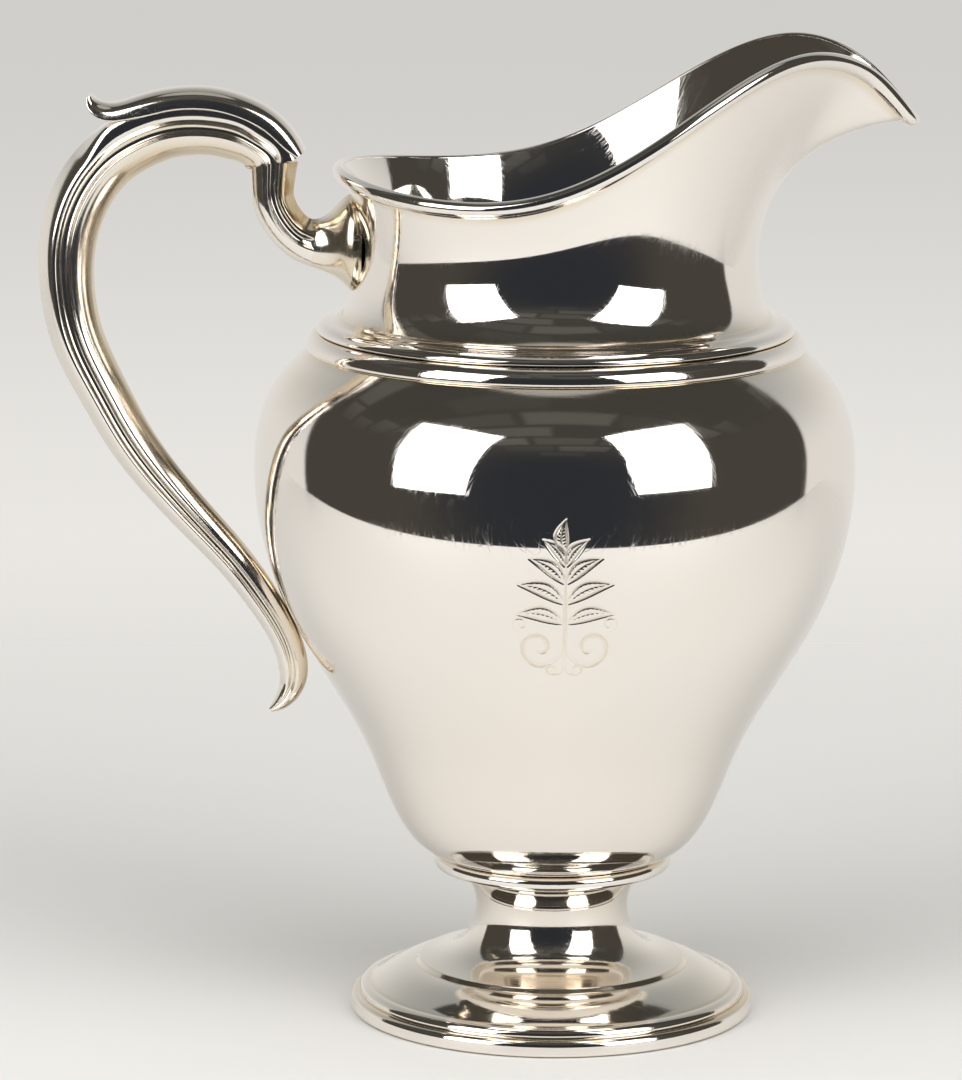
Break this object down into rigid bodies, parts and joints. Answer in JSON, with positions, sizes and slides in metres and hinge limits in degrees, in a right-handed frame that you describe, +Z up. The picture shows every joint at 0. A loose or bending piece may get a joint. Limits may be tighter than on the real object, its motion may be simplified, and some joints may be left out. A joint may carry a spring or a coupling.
{
  "type": "water pitcher",
  "caption": "Silver water pitcher with a baluster body on a stepped round foot, a moulded shoulder, a drawn-out drooping spout and a hollow scroll handle with a thumb rest.",
  "frame": {"origin": "on the table, under the middle of the pitcher's outer box", "axes": "+Z up, +X towards the spout, -X towards the handle"},
  "size_m": [0.2279, 0.1564, 0.2551],
  "materials": {
    "silver": "polished sterling silver with fine polishing scratches and a faint warm tarnish in the creases",
    "silver_handle": "polished silver with a warmer tarnish on the inner side and in the grooves"
  },
  "bodies": {
    "root": {"foot_rim_wire": "silver", "foot_pedestal": "silver", "foot_collar": "silver", "body_bowl": "silver", "shoulder_bead": "silver", "shoulder_step": "silver", "body_neck": "silver", "rim_wire": "silver", "handle_scroll_front": "silver_handle", "handle_scroll_back": "silver_handle", "handle_tail": "silver_handle", "handle_stem_front": "silver_handle", "handle_stem_back": "silver_handle", "handle_flange": "silver_handle", "handle_cap": "silver_handle"}
  },
  "joints": []
}
